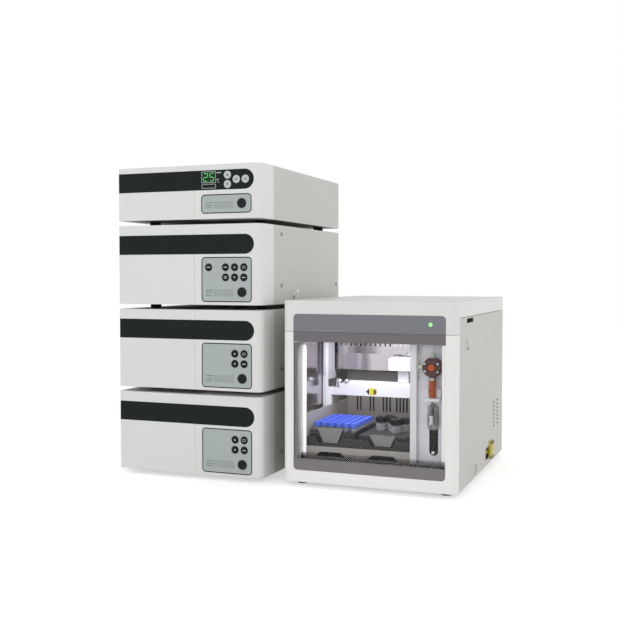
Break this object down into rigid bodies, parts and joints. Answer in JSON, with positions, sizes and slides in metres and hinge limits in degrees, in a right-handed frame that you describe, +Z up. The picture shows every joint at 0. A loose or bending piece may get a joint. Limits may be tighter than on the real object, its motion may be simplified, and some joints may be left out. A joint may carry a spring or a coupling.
{
  "type": "hplc system",
  "caption": "Liquid chromatography stack of oven, detector and pumps with hinged front doors, beside an autosampler with a glazed door, tray, needle and syringe.",
  "frame": {"origin": "on the bench plane, under the centre of the whole set's bounding box", "axes": "+Z up, front faces -Y, the autosampler stands on the +X side"},
  "size_m": [0.7514, 0.5202, 0.66],
  "materials": {
    "warm_grey_sheet": "fine textured paint",
    "bare_steel_sheet": "zinc-plated sheet",
    "white_moulding": "fine satin texture",
    "dark_band": "smooth",
    "grey_film": "satin film",
    "green_display": "smooth lens",
    "power_button": "satin",
    "black_rubber": "moulded",
    "polished_steel": "turned and polished",
    "grey_block": "satin",
    "black_knob": "fluted",
    "grey_panel": "satin",
    "green_lamp": "lit lens",
    "smoked_pane": "clear acrylic with printed edges",
    "grey_lining": "satin paint",
    "bright_shield": "bright rolled sheet",
    "white_inner": "satin paint",
    "dark_grey_plastic": "satin",
    "clear_glass": "clear",
    "blue_plastic": "moulded",
    "black_plastic": "moulded",
    "amber_valve": "smooth",
    "orange_hub": "smooth",
    "amber_tube": "smooth",
    "white_clip": "moulded",
    "yellow_green_plastic": "moulded"
  },
  "bodies": {
    "housings": {"oven_cover": "warm_grey_sheet", "oven_chassis": "bare_steel_sheet", "oven_fascia": "white_moulding", "detector_cover": "warm_grey_sheet", "detector_chassis": "bare_steel_sheet", "detector_fascia": "white_moulding", "pump_a_cover": "warm_grey_sheet", "pump_a_chassis": "bare_steel_sheet", "pump_a_fascia": "white_moulding", "pump_b_cover": "warm_grey_sheet", "pump_b_chassis": "bare_steel_sheet", "pump_b_fascia": "white_moulding", "fascia_bands": "dark_band", "oven_keypad": "grey_film", "detector_keypad": "grey_film", "pump_keypads": "grey_film", "temperature_display": "green_display", "rubber_feet": "black_rubber", "analytical_column": "polished_steel", "pump_a_heads": "polished_steel", "pump_b_heads": "polished_steel", "cover_screws": "polished_steel", "flow_cell": "grey_block", "sampler_chassis": "warm_grey_sheet", "sampler_hood": "white_moulding", "hood_panel": "grey_panel", "status_lamp": "green_lamp", "tray_compartment": "grey_lining", "steel_shield": "bright_shield", "syringe_panel": "white_inner", "needle_beam": "white_inner", "valve_body": "amber_valve", "syringe_barrel": "amber_tube", "tube_clips": "white_clip", "drain_connector": "yellow_green_plastic"},
    "tray": {"tray_carrier": "dark_grey_plastic", "sample_racks": "dark_grey_plastic", "glass_vials": "clear_glass", "blue_caps": "blue_plastic", "black_caps": "black_plastic"},
    "sampler_door": {"sampler_door_frame": "white_moulding", "sampler_door_pane": "smoked_pane"},
    "carriage": {"needle_carriage": "white_inner"},
    "needle_rod": {"needle": "polished_steel"},
    "rotor": {"valve_rotor": "orange_hub"},
    "plunger": {"syringe_plunger": "polished_steel"},
    "pump_a_purge": {"pump_a_purge_knob": "black_knob"},
    "pump_b_purge": {"pump_b_purge_knob": "black_knob"},
    "oven_door_leaf": {"oven_door": "white_moulding", "oven_door_band": "dark_band"},
    "oven_power": {"oven_power_button": "power_button"},
    "detector_door_leaf": {"detector_door": "white_moulding", "detector_door_band": "dark_band"},
    "detector_power": {"detector_power_button": "power_button"},
    "pump_a_door_leaf": {"pump_a_door": "white_moulding", "pump_a_door_band": "dark_band"},
    "pump_a_power": {"pump_a_power_button": "power_button"},
    "pump_b_door_leaf": {"pump_b_door": "white_moulding", "pump_b_door_band": "dark_band"},
    "pump_b_power": {"pump_b_power_button": "power_button"}
  },
  "joints": [
    {"name": "oven_door_hinge", "type": "hinge", "parent": "housings", "child": "oven_door_leaf", "pos_m": [-0.3683, -0.2529, 0.5519], "axis": [0, 0, -1], "range_deg": [0, 105]},
    {"name": "oven_power_press", "type": "slide", "parent": "housings", "child": "oven_power", "axis": [0, 1, 0], "range_m": [0, 0.002], "stiffness_N_per_m": 600},
    {"name": "detector_door_hinge", "type": "hinge", "parent": "housings", "child": "detector_door_leaf", "pos_m": [-0.3683, -0.2529, 0.3729], "axis": [0, 0, -1], "range_deg": [0, 105]},
    {"name": "detector_power_press", "type": "slide", "parent": "housings", "child": "detector_power", "axis": [0, 1, 0], "range_m": [0, 0.002], "stiffness_N_per_m": 600},
    {"name": "pump_a_door_hinge", "type": "hinge", "parent": "housings", "child": "pump_a_door_leaf", "pos_m": [-0.3683, -0.2529, 0.1939], "axis": [0, 0, -1], "range_deg": [0, 105]},
    {"name": "pump_a_power_press", "type": "slide", "parent": "housings", "child": "pump_a_power", "axis": [0, 1, 0], "range_m": [0, 0.002], "stiffness_N_per_m": 600},
    {"name": "pump_b_door_hinge", "type": "hinge", "parent": "housings", "child": "pump_b_door_leaf", "pos_m": [-0.3683, -0.2529, 0.0149], "axis": [0, 0, -1], "range_deg": [0, 105]},
    {"name": "pump_b_power_press", "type": "slide", "parent": "housings", "child": "pump_b_power", "axis": [0, 1, 0], "range_m": [0, 0.002], "stiffness_N_per_m": 600},
    {"name": "pump_a_purge_turn", "type": "hinge", "parent": "housings", "child": "pump_a_purge", "pos_m": [-0.2243, -0.1789, 0.2335], "axis": [0, 1, 0], "range_deg": [0, 180]},
    {"name": "pump_b_purge_turn", "type": "hinge", "parent": "housings", "child": "pump_b_purge", "pos_m": [-0.2243, -0.1789, 0.0545], "axis": [0, 1, 0], "range_deg": [0, 180]},
    {"name": "sampler_door_hinge", "type": "hinge", "parent": "housings", "child": "sampler_door", "pos_m": [0.0197, -0.2384, 0.0205], "axis": [0, 0, -1], "range_deg": [0, 100]},
    {"name": "tray_slide", "type": "slide", "parent": "housings", "child": "tray", "axis": [0, 1, 0], "range_m": [0, 0.095]},
    {"name": "carriage_slide", "type": "slide", "parent": "housings", "child": "carriage", "axis": [1, 0, 0], "range_m": [-0.115, 0.02]},
    {"name": "needle_stroke", "type": "slide", "parent": "carriage", "child": "needle_rod", "axis": [0, 0, -1], "range_m": [0, 0.045]},
    {"name": "rotor_turn", "type": "hinge", "parent": "housings", "child": "rotor", "pos_m": [0.3157, -0.2289, 0.2515], "axis": [0, 1, 0], "range_deg": [0, 60]},
    {"name": "plunger_stroke", "type": "slide", "parent": "housings", "child": "plunger", "axis": [0, 0, 1], "range_m": [-0.022, 0.003]}
  ]
}
